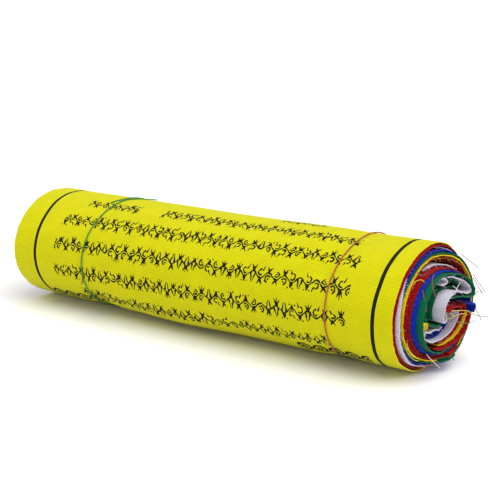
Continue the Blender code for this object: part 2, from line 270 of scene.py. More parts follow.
def drawMark(tree, known, name, place, mark):
    # the ink of one stroke or curl, 1 inside it and 0 outside
    kind = mark[0]
    if kind == "stroke":
        start, end = Vector((*mark[1], 0.0)), Vector((*mark[2], 0.0))
        run = end - start
        fromStart = vectorMath(tree, "SUBTRACT", {0: place, 1: start})
        share = vectorMath(tree, "DOT_PRODUCT", {0: fromStart.outputs[0], 1: run / run.length_squared})
        held = addNode(tree, "ShaderNodeMath", {"operation": "ADD", "use_clamp": True},
                       {0: share.outputs["Value"], 1: 0.0})
        onLine = vectorMath(tree, "SCALE", {0: run, "Scale": held.outputs[0]})
        away = vectorMath(tree, "DISTANCE", {0: fromStart.outputs[0], 1: onLine.outputs[0]})
        width = addNode(tree, "ShaderNodeMath", {"operation": "MULTIPLY_ADD"},
                        {0: held.outputs[0], 1: mark[4] - mark[3], 2: mark[3]})
        inside = addNode(tree, "ShaderNodeMath", {"operation": "LESS_THAN"},
                         {0: away.outputs["Value"], 1: width.outputs[0]})
        known[name] = inside.outputs[0]
        return
    middle, radius, openSide = Vector((*mark[1], 0.0)), mark[2], Vector((*mark[3], 0.0)).normalized()
    fromMiddle = vectorMath(tree, "SUBTRACT", {0: place, 1: middle})
    away = vectorMath(tree, "LENGTH", {0: fromMiddle.outputs[0]})
    side = vectorMath(tree, "DOT_PRODUCT", {0: fromMiddle.outputs[0], 1: openSide})
    known[name + "Away"], known[name + "Side"] = away.outputs["Value"], side.outputs["Value"]
    runSteps(tree, known, [
        (name + "Ring", "COMPARE", name + "Away", radius, printLook["line"]),
        (name + "Kept", "LESS_THAN", name + "Side", radius * printLook["curlOpen"]),
        (name, "MULTIPLY", name + "Ring", name + "Kept"),
    ])


def drawMotifs(tree, known, name, place, chance, kinds, share):
    # one of the kinds in each cell, by the cell's chance; share of the cells hold none
    total = None
    for number, marks in enumerate(kinds):
        middle = (1 - share) * (number + 0.5) / len(kinds)
        chosen = name + "Chosen" + str(number)
        runSteps(tree, known, [(chosen, "COMPARE", chance, middle, (1 - share) / len(kinds) / 2)])
        for part, mark in enumerate(marks):
            ink = name + str(number) + "x" + str(part)
            drawMark(tree, known, ink + "Whole", place, mark)
            runSteps(tree, known, [(ink, "MULTIPLY", ink + "Whole", chosen)])
            if total:
                runSteps(tree, known, [(ink + "Sum", "MAXIMUM", total, ink)])
                total = ink + "Sum"
            else:
                total = ink
    known[name] = known[total]


def printedCloth(dye):
    # the same cotton, block-printed with dark ink that soaks in unevenly
    material, tree, shader = startMaterial(dye + " block-printed cotton")
    place, known = clothPlace(tree)
    look = printLook
    wobble = addNode(tree, "ShaderNodeTexNoise", None, {"Vector": place, "Scale": 0.5, "Detail": 2.0})
    wobbled = addNode(tree, "ShaderNodeSeparateColor", None, {0: wobble.outputs[1]})
    known["wobbleU"], known["wobbleV"] = wobbled.outputs[0], wobbled.outputs[1]
    middle = roll["width"] / 2
    frameMiddle, frameHalf = (look["left"] + look["right"]) / 2, (look["right"] - look["left"]) / 2
    frameCentre, frameRise = (look["foot"] + look["top"]) / 2, (look["foot"] - look["top"]) / 2
    runSteps(tree, known, [
        ("warpedU", "MULTIPLY_ADD", "wobbleU", look["wobble"], "u"),
        ("warpedV", "MULTIPLY_ADD", "wobbleV", look["wobble"], "v"),
        ("pu", "SUBTRACT", "warpedU", look["wobble"] / 2),
        ("pv", "SUBTRACT", "warpedV", look["wobble"] / 2),
        # the row that a point is in, and how far below the row's stem it lies
        ("climb", "MULTIPLY_ADD", "pu", look["slant"], -middle * look["slant"] - look["firstRow"]),
        ("drop", "ADD", "pv", "climb"),
        ("rowShare", "DIVIDE", "drop", look["rowPitch"]),
        ("rowHalf", "ADD", "rowShare", look["above"]),
        ("row", "FLOOR", "rowHalf"),
        ("rowStem", "MULTIPLY", "row", look["rowPitch"]),
        ("y", "SUBTRACT", "drop", "rowStem"),
        # the cell along the row, and the place from its middle
        ("along", "MULTIPLY_ADD", "row", look["rowShift"], "pu"),
        ("cellShare", "DIVIDE", "along", look["cell"]),
        ("cell", "FLOOR", "cellShare"),
        ("cellMiddle", "MULTIPLY_ADD", "cell", look["cell"], look["cell"] / 2),
        ("x", "SUBTRACT", "along", "cellMiddle"),
    ])
    # chance numbers for each cell, from 0 to 1
    cellPlace = addNode(tree, "ShaderNodeCombineXYZ", None, {0: known["cell"], 1: known["row"]})
    for number in (1, 2):
        shifted = vectorMath(tree, "ADD", {0: cellPlace.outputs[0], 1: (37.0 * number, 11.0, 0.0)})
        chance = addNode(tree, "ShaderNodeTexWhiteNoise", {"noise_dimensions": "3D"},
                         {0: shifted.outputs[0]})
        parts = addNode(tree, "ShaderNodeSeparateColor", None, {0: chance.outputs[1]})
        for channel, letter in enumerate("ab"):
            known[letter + str(number)] = parts.outputs[channel]
    runSteps(tree, known, [
        # the vine bends up in one cell and down in the next, and its motifs with it
        ("cellHalf", "MULTIPLY", "cell", 0.5),
        ("parity", "FRACT", "cellHalf"),
        ("bend", "MULTIPLY_ADD", "parity", -4.0, 1.0),
        ("vineY", "SUBTRACT", "y", look["rowMiddle"]),
        ("bentY", "MULTIPLY", "vineY", "bend"),
        ("stretch", "MULTIPLY_ADD", "b2", *look["motifStretch"]),
        ("stretchedY", "MULTIPLY", "bentY", "stretch"),
        ("sideChance", "SUBTRACT", "a2", 0.5),
        ("side", "SIGN", "sideChance"),
        ("turnedX", "MULTIPLY", "x", "side"),
    ])
    inCell = addNode(tree, "ShaderNodeCombineXYZ", None, {0: known["turnedX"], 1: known["stretchedY"]})
    drawMotifs(tree, known, "tendril", inCell.outputs[0], "a1", tendrils, 0.0)
    drawMotifs(tree, known, "leaf", inCell.outputs[0], "b1", leaves, look["noLeaf"])
    runSteps(tree, known, [
        # the wavy stem itself
        ("stemTurn", "MULTIPLY", "x", math.pi / look["cell"]),
        ("stemWave", "COSINE", "stemTurn"),
        ("stemY", "MULTIPLY_ADD", "stemWave", look["wave"], "bentY"),
        ("stem", "COMPARE", "stemY", 0.0, look["stem"]),
        ("motifInk", "MAXIMUM", "tendril", "leaf"),
        ("vine", "MAXIMUM", "motifInk", "stem"),
        # how far each row runs: the first has gaps, and the crest is almost bare
        ("isFirst", "COMPARE", "row", 0.0, 0.1),
        ("isLast", "COMPARE", "row", look["lastRow"], 0.1),
        ("isCrest", "COMPARE", "row", -1.5, 0.6),
        ("lateStart", "MULTIPLY_ADD", "isLast", look["lastRowIn"][0], look["rowStart"]),
        ("rowStart", "MULTIPLY_ADD", "isFirst", look["firstRowIn"], "lateStart"),
        ("crestStart", "MULTIPLY_ADD", "isCrest", look["crestRowIn"][0], "rowStart"),
        ("earlyStop", "MULTIPLY_ADD", "isLast", -look["lastRowIn"][1], look["rowStop"]),
        ("rowStop", "MULTIPLY_ADD", "isFirst", -look["firstRowIn"], "earlyStop"),
        ("crestStop", "MULTIPLY_ADD", "isCrest", -look["crestRowIn"][1], "rowStop"),
        ("started", "GREATER_THAN", "pu", "crestStart"),
        ("running", "LESS_THAN", "pu", "crestStop"),
        ("inGap", "COMPARE", "pu", *look["firstRowGap"]),
        ("bare", "MULTIPLY", "inGap", "isFirst"),
        ("notBare", "SUBTRACT", 1.0, "bare"),
        ("rowIn", "COMPARE", "row", 0.0, look["lastRow"] + 0.1),
        ("inRun", "MULTIPLY", "started", "running"),
        ("inRows", "MULTIPLY", "rowIn", "notBare"),
        ("inPrint", "MULTIPLY", "inRun", "inRows"),
        ("rows", "MULTIPLY", "vine", "inPrint"),
        # the frame of lines, a little bowed
        ("bowTurn", "MULTIPLY", "v", math.pi / look["bowLength"]),
        ("bow", "SINE", "bowTurn"),
        ("frameU", "MULTIPLY_ADD", "bow", -look["bow"], "u"),
        ("leftInk", "COMPARE", "frameU", look["left"], look["frameLine"]),
        ("crestShift", "MULTIPLY_ADD", "v", look["skew"] / look["skewLength"], -look["skew"]),
        ("rightU", "ADD", "frameU", "crestShift"),
        ("rightInk", "COMPARE", "rightU", look["right"], look["frameLine"]),
        ("topInk", "COMPARE", "v", look["top"], look["frameLine"]),
        ("footInk", "COMPARE", "v", look["foot"], look["frameLine"]),
        ("sideInk", "MAXIMUM", "leftInk", "rightInk"),
        ("endInk", "MAXIMUM", "topInk", "footInk"),
        ("acrossIn", "COMPARE", "frameU", frameMiddle, frameHalf + look["frameLine"]),
        ("roundIn", "COMPARE", "v", frameCentre, frameRise + look["frameLine"]),
        ("sides", "MULTIPLY", "sideInk", "roundIn"),
        ("ends", "MULTIPLY", "endInk", "acrossIn"),
        ("frameInk", "MAXIMUM", "sides", "ends"),
        # scrolls of two rings in the lower corners
        ("scrollShare", "DIVIDE", "pu", look["scroll"]),
        ("scrollCell", "FRACT", "scrollShare"),
        ("scrollX", "MULTIPLY_ADD", "scrollCell", look["scroll"], -look["scroll"] / 2),
        ("scrollY", "SUBTRACT", "pv", look["cornerRow"]),
        ("scrollXX", "MULTIPLY", "scrollX", "scrollX"),
        ("scrollYY", "MULTIPLY", "scrollY", "scrollY"),
        ("scrollSum", "ADD", "scrollXX", "scrollYY"),
        ("scrollAway", "SQRT", "scrollSum"),
        ("scrollOuter", "COMPARE", "scrollAway", *look["outerRing"]),
        ("scrollInner", "COMPARE", "scrollAway", *look["innerRing"]),
        ("scrollRings", "MAXIMUM", "scrollOuter", "scrollInner"),
        ("fromMiddle", "SUBTRACT", "pu", frameMiddle),
        ("middleAway", "ABSOLUTE", "fromMiddle"),
        ("cornerIn", "COMPARE", "middleAway", *look["corner"]),
        ("corners", "MULTIPLY", "scrollRings", "cornerIn"),
        ("linesInk", "MAXIMUM", "rows", "frameInk"),
        ("allInk", "MAXIMUM", "linesInk", "corners"),
    ])
    patchy = addNode(tree, "ShaderNodeTexNoise", None, {"Vector": place, "Scale": 0.9, "Detail": 3.0})
    known["patchy"] = patchy.outputs[0]
    runSteps(tree, known, [
        ("soak", "MULTIPLY_ADD", "patchy", *look["soak"]),
        ("soaked", "MINIMUM", "soak", look["soakMost"]),
        ("inked", "MULTIPLY", "allInk", "soaked"),
    ])
    finishCloth(tree, shader, place, known, linear(dyes[dye]), known["inked"])
    return material


threadLook = {
    "green": "#0C7E20",
    "red": "#A94516",
    "dark": "#16244F",
    # below this height, near the floor, the red tie is coloured dark blue
    "darkBelowHeight": 10.5,
    "fuzzSize": 0.7143,       # size of the fuzz between fibres
    "fuzzShade": (0.5, 0.75),
    "fuzzDepth": 0.05,
    "bumpStrength": 0.4,
    "roughness": 0.7,
    "sheen": 0.3,
}


def threadMaterial(name, upper, lower=None):
    # spun cotton thread; one tie turns dark blue below a set height, near the floor
    material, tree, shader = startMaterial(name)
    where = addNode(tree, "ShaderNodeTexCoord")
    fuzz = addNode(tree, "ShaderNodeTexNoise", None,
                   {"Vector": where.outputs["Object"], "Scale": 1 / (threadLook["fuzzSize"] * mm)})
    colour = linear(upper)
    known = {"fuzz": fuzz.outputs[0]}
    runSteps(tree, known, [("shade", "MULTIPLY_ADD", "fuzz", *threadLook["fuzzShade"])])
    if lower:
        split = addNode(tree, "ShaderNodeSeparateXYZ", None, {0: where.outputs["Object"]})
        known["z"] = split.outputs[2]
        runSteps(tree, known, [("low", "LESS_THAN", "z", threadLook["darkBelowHeight"] * mm)])
        mixed = addNode(tree, "ShaderNodeMix", {"data_type": "RGBA"},
                        {0: known["low"], 6: colour, 7: linear(lower)})
        colour = mixed.outputs[2]
    else:
        colour = colour[:3]
    tint = vectorMath(tree, "SCALE", {0: colour, "Scale": known["shade"]})
    bump = addNode(tree, "ShaderNodeBump", None,
                   {"Strength": threadLook["bumpStrength"], "Distance": threadLook["fuzzDepth"] * mm,
                    "Height": known["fuzz"]})
    tree.links.new(tint.outputs[0], shader.inputs["Base Color"])
    tree.links.new(bump.outputs[0], shader.inputs["Normal"])
    shader.inputs["Roughness"].default_value = threadLook["roughness"]
    shader.inputs["Sheen Weight"].default_value = threadLook["sheen"]
    return material


# The winding, with the same sizes as the solids

roll = {
    "width": 280.0,
    "halfWidth": 43.9,
    "halfHeight": 35.9,
    "halfHeightBelow": 36.8,
    "sheet": 1.0,
    "pitch": 1.3,
    "seam": 234.0,
    "rowsPerTurn": 40,
    "seamGap": 1.4,
    "lapFade": 0.1,
    "sideSlack": 0.6,
    "floorSlack": 1.9,
    "looseTurn": 7,
    "looseGap": 2.3,
    "looseAngle": -14.0,
    "looseSpread": 85.0,
    "shoulder": 2.0,
    "shoulderAngle": -30.0,
    "shoulderSpread": 58.0,
}

# how full the outer flag stands along the roll: 0 where a tie draws it in
stations = [
    (0, 0.55), (22, 0.75), (46, 0.75), (54, 0.30), (60, 0.0), (66, 0.30), (76, 1.0), (102, 1.0),
    (222, 1.0), (231, 0.30), (238, 0.0), (245, 0.30), (256, 0.70), (280, 0.40),
]

# the near side sags low down, in the middle of the roll
belly = {"out": 2.2, "place": 125.0, "length": 60.0, "angle": 132.0, "spread": 34.0}


def readTable(rows, at):
    # the value at one place, from rows of a place and its value
    at = min(max(at, rows[0][0]), rows[-1][0])
    for (low, before), (high, after) in zip(rows, rows[1:]):
        if at <= high:
            return before + (after - before) * (at - low) / (high - low)


def smoothStep(t):
    t = min(1.0, max(0.0, t))
    return t * t * (3 - 2 * t)


def bellyOut(x, angle):
    along = (x + roll["width"] / 2 - belly["place"]) / belly["length"]
    across = (angle - belly["angle"]) / belly["spread"]
    if abs(along) >= 1 or abs(across) >= 1:
        return 0.0
    return belly["out"] * (math.cos(along * math.pi / 2) * math.cos(across * math.pi / 2)) ** 2


def shoulderOut(x, angle):
    # the far upper side swells towards the right end
    along = max(0.0, x / (roll["width"] / 2))
    across = ((angle - roll["shoulderAngle"] + 180) % 360 - 180) / roll["shoulderSpread"]
    if abs(across) >= 1:
        return 0.0
    return roll["shoulder"] * along * math.cos(across * math.pi / 2) ** 2


def sagIn(turns, angle):
    # the inner turns sag away from the outer ones
    across = ((angle - roll["looseAngle"] + 180) % 360 - 180) / roll["looseSpread"]
    if turns <= roll["looseTurn"] or abs(across) >= 1:
        return 0.0
    return roll["looseGap"] * math.cos(across * math.pi / 2) ** 2


def rollPoint(turns, x, lift=0.0):
    # y and z of the winding after a number of turns from the outer edge, lifted off the sheet
    angle = roll["seam"] - 360 * turns
    turn = math.radians(angle)
    floorShare = max(0.0, -math.cos(turn)) ** 4
    room = roll["sideSlack"] + (roll["floorSlack"] - roll["sideSlack"]) * floorShare
    puffed = min(1.0, max(0.0, (1 - turns) / roll["lapFade"]))
    full = readTable(stations, x + roll["width"] / 2)
    standOff = puffed * (room * full + bellyOut(x, angle))
    if turns <= roll["looseTurn"]:
        standOff += shoulderOut(x, angle)
    depth = roll["sheet"] / 2 + room + sagIn(turns, angle) + roll["pitch"] * turns - standOff - lift
    height = roll["halfHeight"] if math.cos(turn) > 0 else roll["halfHeightBelow"]
    y = -(roll["halfWidth"] - depth) * math.sin(turn)
    z = roll["halfHeight"] + (height - depth) * math.cos(turn)
    flat = roll["sheet"] / 2 + room + roll["pitch"] * math.floor(turns) - standOff - lift
    return y, max(z, flat)


# The flags

cloths = {dye: plainCloth(dye) for dye in dyes}
printedYellow = printedCloth("yellow")
print("scene: cloth dyed and printed")

clothSheet = {
    "thickness": 0.62,
    "rippleReach": 26.0,      # how far in from its cut edge a flag ripples
    "ripple": 0.22,
    "edgeJitter": 0.30,
    "longWave": (0.11, 7.3, 0.02),      # steps of the noise round the roll, from flag to flag, along it
    "shortWave": (0.33, 3.1, 0.05),
    "edgeWave": (0.8, 5.7),
    "foldLoose": 1.6,         # folds ripple more than turns do
    "foldSteps": 8,
    "outerRows": 216,
    "outerSpans": 168,
    "innerRows": 168,
    "slopeTurns": 0.002,
    "smoothAngle": 60.0,
}

# places along an inner flag where it has rows of points, close together at its ends
innerPlaces = [0, 3, 7, 12, 20, 32, 60, 105, 150, 195, 225,
               243, 251, 257, 262, 266, 269.5, 272.5, 275, 277, 278.6, 280]

# node, dye, rows lapped, and how far it stands out of the right end: near, top, far, bottom
woundFlags = [
    ("yellow_flag_1", "yellow", 2, -1.4, -2.5, -1.0, -1.0),
    ("red_flag_1", "red", 5, -0.6, -1.4, 1.0, 0.4),
    ("white_flag_1", "white", 1, 1.6, -4.5, 2.0, 2.4),
    ("blue_flag_1", "blue", 4, -0.3, -0.8, 4.5, 10.0),
    ("green_flag_1", "green", 7, 0.0, -0.8, 9.0, 12.0),
    ("yellow_flag_2", "yellow", 3, 1.5, -0.4, 8.4, 11.4),
    ("red_flag_2", "red", 6, 2.9, -0.8, 8.0, 12.2),
    ("red_flag_3", "red", 2, 4.1, 4.0, 7.0, 10.0),
    ("blue_flag_2", "blue", 5, 7.2, 6.2, 9.5, 10.0),
    ("green_flag_2", "green", 0, 10.6, 8.8, 13.6, 11.0),
]

hookAngle = -72.0
hookFolds = [(28.4, 40.2), (26.8, 38.7), (21.0, 39.3), (14.0, 41.1), (6.0, 42.8), (-1.0, 43.9)]

# node, dye, stand-out at the start, middle and end of its folds, and the folds (y, z)
foldedFlags = [
    ("white_flag_2", "white", -0.5, 1.0, 3.5, [
        (-10.6, 59.2), (-7.9, 59.7), (-3.4, 60.0), (1.1, 59.9),
        (5.5, 59.4), (9.8, 58.6), (14.0, 57.4), (17.9, 55.9),
        (21.6, 54.0), (23.4, 52.9)]),
    ("white_flag_3", "white", 9.0, 12.9, 11.5, [
        (1.4, 54.3), (7.0, 53.5), (14.2, 50.9), (20.6, 47.0),
        (25.0, 43.6), (26.0, 42.1), (24.2, 41.4), (18.0, 42.5),
        (11.0, 44.4), (4.0, 46.0), (-2.0, 45.3), (-6.8, 42.8),
        (-9.4, 39.4), (-10.4, 35.6), (-9.8, 32.6), (-7.2, 31.6),
        (-4.8, 33.2), (-4.8, 36.0)]),
    ("green_flag_3", "green", 7.5, 8.5, 10.5, [
        (-9.0, 49.9), (-16.0, 48.8), (-22.0, 44.6), (-23.2, 38.6),
        (-20.4, 33.4), (-15.2, 30.6), (-9.0, 29.6), (-3.6, 30.2),
        (-1.8, 32.8)]),
    ("green_flag_4", "green", 9.0, 6.0, 7.0, [
        (3.4, 52.4), (7.6, 51.8), (13.4, 49.6), (19.2, 46.2),
        (22.8, 43.7), (22.0, 43.1), (18.2, 43.9), (11.4, 45.8),
        (4.2, 47.5), (-3.0, 46.7), (-8.1, 43.8), (-10.9, 39.9),
        (-12.0, 36.2), (-12.2, 33.2)]),
    ("white_flag_4", "white", 10.5, 9.0, 8.5, [
        (13.5, 32.4), (13.8, 28.6), (10.5, 24.9), (4.0, 22.0),
        (-4.0, 20.9), (-11.0, 21.1), (-17.6, 22.2), (-22.4, 24.6),
        (-24.4, 27.4), (-22.4, 28.9), (-17.6, 27.4), (-12.0, 28.0),
        (-7.4, 26.4), (-3.2, 27.4)]),
    ("white_flag_5", "white", 7.0, 9.0, 8.0, [
        (-10.6, 53.2), (-5.0, 54.6), (-1.0, 53.6), (0.6, 51.8),
        (-1.4, 50.9), (-5.2, 51.4)]),
    ("red_flag_4", "red", 12.6, 12.4, 9.5, [
        (26.4, 28.4), (22.6, 23.1), (16.0, 18.7), (9.0, 16.4),
        (0.0, 15.7), (-9.0, 16.0), (-15.3, 18.2)]),
    ("yellow_flag_3", "yellow", 10.8, 10.4, 8.0, [
        (24.0, 29.4), (20.5, 24.6), (15.0, 20.6), (8.0, 18.1),
        (0.0, 17.3), (-6.0, 17.4)]),
    ("yellow_flag_4", "yellow", 9.0, 10.5, 9.5, [
        (-26.6, 28.4), (-28.3, 31.2), (-28.7, 34.2), (-26.3, 35.6),
        (-24.4, 33.6), (-24.8, 31.2)]),
    ("red_flag_5", "red", 8.5, 11.0, 14.5, [
        (-8.0, 19.3), (-4.0, 19.0), (4.0, 19.2), (11.0, 21.2),
        (17.0, 24.8), (20.8, 28.8), (21.8, 31.8), (20.2, 34.2),
        (16.4, 36.6), (12.0, 38.6), (6.0, 40.7), (-1.0, 42.0),
        (-6.2, 40.8)]),
    ("blue_flag_3", "blue", 13.5, 14.5, 13.5, [
        (27.8, 30.8), (28.2, 33.8), (26.8, 36.2), (23.6, 36.9),
        (20.4, 37.4)]),
    ("blue_flag_4", "blue", 5.0, 6.5, 8.0, [
        (-14.5, 24.6), (-8.6, 22.7), (-3.0, 22.7), (2.4, 24.6),
        (4.2, 27.4)]),
]


# two flaps hang down where they stand out: how far, and the share of the fold that stays up
droopFrom = 0.94
droopFade = 0.15
droops = {"red_flag_5": (3.6, 0.6), "blue_flag_3": (2.4, 0.0)}
# how fast the near stand-out fades above and below the roll's middle
nearFade = (2.0, 0.6)


def smoothPath(points, steps):
    # a smooth curve through the points
    knots = [Vector(p) for p in points]
    knots.insert(0, 2 * knots[0] - knots[1])
    knots.append(2 * knots[-1] - knots[-2])
    path = []
    for before, here, there, after in zip(knots, knots[1:], knots[2:], knots[3:]):
        for step in range(steps):
            t = step / steps
            path.append(0.5 * (2 * here + (there - before) * t
                               + (2 * before - 5 * here + 4 * there - after) * t ** 2
                               + (3 * here - before - 3 * there + after) * t ** 3))
    path.append(knots[-2])
    return path


def reachRound(flag, turns):
    # how far a wound flag stands out at one place round the roll
    near, top, far, bottom = flag[3:]
    turn = math.radians(roll["seam"] - 360 * turns)
    level = top if math.cos(turn) > 0 else bottom
    if math.sin(turn) > 0:
        side, share = near, math.sin(turn) ** nearFade[0 if math.cos(turn) > 0 else 1]
    else:
        side, share = far, -math.sin(turn)
    return side * share + level * (1 - share)


def edgeShare(x, left, right):
    # 1 at a cut edge, fading to 0 further in
    inward = min(x - left, right - x)
    return 1 - smoothStep(inward / clothSheet["rippleReach"])


def makeSheet(node, dye, path, places, seed, front=None):
    # a flat grid wrapped on its folds: path holds each row's place, outward side and stand-out,
    # and places are the columns along the roll
    bpy.ops.object.select_all(action="DESELECT")
    rows = len(path)
    bpy.ops.mesh.primitive_grid_add(x_subdivisions=len(places) - 1, y_subdivisions=rows - 1, size=1)
    sheet = bpy.context.object
    sheet.name = node + "_cloth"
    sheet.data.name = sheet.name
    half = roll["width"] / 2
    length = [0.0]
    for a, b in zip(path, path[1:]):
        length.append(length[-1] + math.hypot(b["y"] - a["y"], b["z"] - a["z"]))
    crest = next((s for s, p in zip(length, path) if p.get("crest")), 0.0)
    longRun, longSeed, longX = clothSheet["longWave"]
    shortRun, shortSeed, shortX = clothSheet["shortWave"]
    edgeRun, edgeSeed = clothSheet["edgeWave"]
    flatPlace = []
    for vertex in sheet.data.vertices:
        column = round((vertex.co.x + 0.5) * (len(places) - 1))
        row = round((vertex.co.y + 0.5) * (rows - 1))
        point = path[row]
        share = places[column] / roll["width"]
        flatPlace.append((places[column] * mm, (crest - length[row]) * mm))
        reach = point["reach"]
        x = places[column] - half + reach * smoothStep(abs(share - 0.5) / 0.5)
        cut = edgeShare(places[column], 0.0, roll["width"])
        wave = noise.noise(Vector((length[row] * longRun, seed * longSeed, x * longX)))
        wave += 0.5 * noise.noise(Vector((length[row] * shortRun, seed * shortSeed, x * shortX)))
        lift = clothSheet["ripple"] * point["loose"] * cut * wave * 2
        if places[column] in (places[0], places[-1]):
            edgePlace = Vector((length[row] * edgeRun, seed * edgeSeed, 1.0))
            x += clothSheet["edgeJitter"] * noise.noise(edgePlace)
        y, z, outY, outZ = point["y"], point["z"], point["outY"], point["outZ"]
        z -= point.get("droop", 0.0) * max(0.0, share - droopFrom) / (1 - droopFrom)
        if "surface" in point:
            y, z, outY, outZ = point["surface"](x)
        vertex.co = Vector((x, y + outY * lift, z + outZ * lift)) * mm
    layer = sheet.data.uv_layers[0]
    layer.name = "clothMap"
    for loop in sheet.data.loops:
        layer.data[loop.index].uv = flatPlace[loop.vertex_index]
    sheet.data.materials.append(front or cloths[dye])
    sheet.data.materials.append(cloths[dye])
    thick = sheet.modifiers.new("thickness", "SOLIDIFY")
    thick.thickness = clothSheet["thickness"] * mm
    thick.offset = 0.0
    thick.use_even_offset = True
    thick.material_offset = 1
    thick.material_offset_rim = 1
    bpy.ops.object.modifier_apply(modifier=thick.name)
    bpy.ops.object.shade_smooth_by_angle(angle=math.radians(clothSheet["smoothAngle"]))
    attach(sheet, "root")
    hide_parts(node)
    return sheet, length[-1]


def outward(a, b):
    # the side of the sheet that faces out, for rows that run from point a to point b
    run = Vector((b[0] - a[0], b[1] - a[1])).normalized()
    return run.y, -run.x


outerRelief = {
    "pucker": 0.544,          # folds that the ties draw into the cloth
    "puckerReach": 11.0,
    "puckerPlaces": (60.0, 238.0),
    "foldRound": 0.16,        # steps of the folds' noise round the roll and along it
    "foldAlong": 0.015,
    "dent": 0.38,             # soft hollows along the roll
    "dentLength": 46.0,
    "dentAngle": 24.0,
    "lapFade": 0.08,
}


def outerSurface(turns):
    # the outer flag at one row: its place and outward side at any x
    relief = outerRelief
    angle = roll["seam"] - 360 * turns
    rest = max(0.0, -math.cos(math.radians(angle))) ** 3
    free = (1 - rest) * smoothStep((1.0 - turns) / relief["lapFade"])

    def at(x):
        place = x + roll["width"] / 2
        pucker = 0.0
        for tiePlace in relief["puckerPlaces"]:
            near = math.exp(-((place - tiePlace) / relief["puckerReach"]) ** 2)
            fold = noise.noise(Vector((angle * relief["foldRound"], tiePlace, place * relief["foldAlong"])))
            pucker += relief["pucker"] * near * fold
        dentPlace = Vector((place / relief["dentLength"], angle / relief["dentAngle"], 4.0))
        dent = relief["dent"] * noise.noise(dentPlace)
        y, z = rollPoint(turns, x)
        turn = math.radians(angle)
        out = Vector((-math.sin(turn) / roll["halfWidth"], math.cos(turn) / roll["halfHeight"]))
        out.normalize()
        lift = (pucker + dent) * free
        return y + out.x * lift, z + out.y * lift, out.x, out.y
    return at


def innerSurface(turns, outY, outZ):
    # an inner flag at one row
    def at(x):
        return *rollPoint(turns, x), outY, outZ
    return at


def woundPath(index, flag, rows):
    # the rows of a wound flag, and the hook that ends the innermost one
    perTurn = roll["rowsPerTurn"]
    first = index + (woundFlags[index - 1][2] / perTurn + roll["seamGap"] / 360 if index else 0.0)
    last = index + 1 + flag[2] / perTurn
    tail = []
    if index == len(woundFlags) - 1:
        last = index + (roll["seam"] - hookAngle) / 360
        leave = rollPoint(last, 0.0)
        tail = smoothPath([(0.0, *p) for p in [leave] + hookFolds], clothSheet["foldSteps"])[1:]
    path = []
    slope = clothSheet["slopeTurns"]
    for row in range(rows):
        turns = first + (last - first) * row / (rows - 1)
        y, z = rollPoint(turns, 0.0)
        outY, outZ = outward(rollPoint(turns - slope, 0.0), rollPoint(turns + slope, 0.0))
        point = {"y": y, "z": z, "outY": outY, "outZ": outZ, "reach": reachRound(flag, turns), "loose": 1.0}
        point["surface"] = innerSurface(turns, outY, outZ) if index else outerSurface(turns)
        path.append(point)
    for a, b in zip([Vector((0.0, path[-1]["y"], path[-1]["z"]))] + tail, tail):
        outY, outZ = outward((a.y, a.z), (b.y, b.z))
        path.append({"y": b.y, "z": b.z, "outY": outY, "outZ": outZ,
                     "reach": path[rows - 1]["reach"], "loose": clothSheet["foldLoose"]})
    crestTurns = index + roll["seam"] / 360
    crestRow = round((crestTurns - first) / (last - first) * (rows - 1))
    path[min(crestRow, len(path) - 1)]["crest"] = True
    return path


def foldedPath(flag):
    # the rows of a folded flag
    start, middle, end, folds = flag[2:]
    droop, droopShare = droops.get(flag[0], (0.0, 0.0))
    line = smoothPath([(0.0, *p) for p in folds], clothSheet["foldSteps"])
    path = []
    for row, here in enumerate(line):
        along = row / (len(line) - 1)
        before, after = line[max(0, row - 1)], line[min(len(line) - 1, row + 1)]
        outY, outZ = outward((before.y, before.z), (after.y, after.z))
        reach = start + (end - start) * along + (2 * middle - start - end) * 2 * along * (1 - along)
        hang = droop * (min(1.0, max(0.0, (along - droopShare) / droopFade)) if droopShare else 1.0)
        path.append({"y": here.y, "z": here.z, "outY": outY, "outZ": outZ, "reach": reach,
                     "loose": clothSheet["foldLoose"], "droop": hang})
    return path


spans = clothSheet["outerSpans"]
outerPlaces = [roll["width"] * i / spans for i in range(spans + 1)]
paths = {}
for index, flag in enumerate(woundFlags):
    node, dye = flag[:2]
    rows, places, front = clothSheet["innerRows"], innerPlaces, None
    if index == 0:
        rows, places, front = clothSheet["outerRows"], outerPlaces, printedYellow
    paths[node] = woundPath(index, flag, rows)
    makeSheet(node, dye, paths[node], places, index + 1, front)
for number, flag in enumerate(foldedFlags):
    node, dye = flag[:2]
    paths[node] = foldedPath(flag)
    makeSheet(node, dye, paths[node], innerPlaces, number + 21)
print("scene: flags rolled")


# The ties: each is two strands twisted into one thread

tieThread = {
    "strand": 0.25,           # half the strand's width
    "spread": 0.22,
    "twist": 2.6,             # length of one twist
    "thread": 1.1,
    "climb": 0.04,            # part of a turn in which a tie climbs onto the flag's lap
    "step": 0.6,              # degrees round the roll
}

# angle round the roll and place along it
ties = {
    "green_tie": [
        (-13, 77.0), (-10, 70.5), (-5, 65.0), (3, 61.6), (24, 60.6), (60, 59.2), (90, 58.4),
        (135, 58.0), (180, 58.6), (225, 59.6), (270, 60.2), (315, 60.4), (350, 59.9),
        (364, 58.8), (375, 56.2)],
    "red_tie": [
        (-126, 241.0), (-118, 239.2), (-100, 238.4), (-60, 238.4), (-20, 238.8), (20, 238.4),
        (60, 237.6), (90, 237.4), (135, 237.8), (180, 237.4), (225, 236.8), (242, 236.6),
        (250, 235.0)],
}


def tiePoint(rows, angle):
    # the middle of a tie at one angle round the roll
    x = readTable(rows, angle) - roll["width"] / 2
    wound = ((roll["seam"] - angle) % 360) / 360
    climb = min(1.0, max(0.0, (wound - 1 + 2 * tieThread["climb"]) / tieThread["climb"]))
    lift = roll["sheet"] / 2 + tieThread["thread"] / 2 + climb * roll["pitch"]
    return Vector((x, *rollPoint(wound, x, lift)))


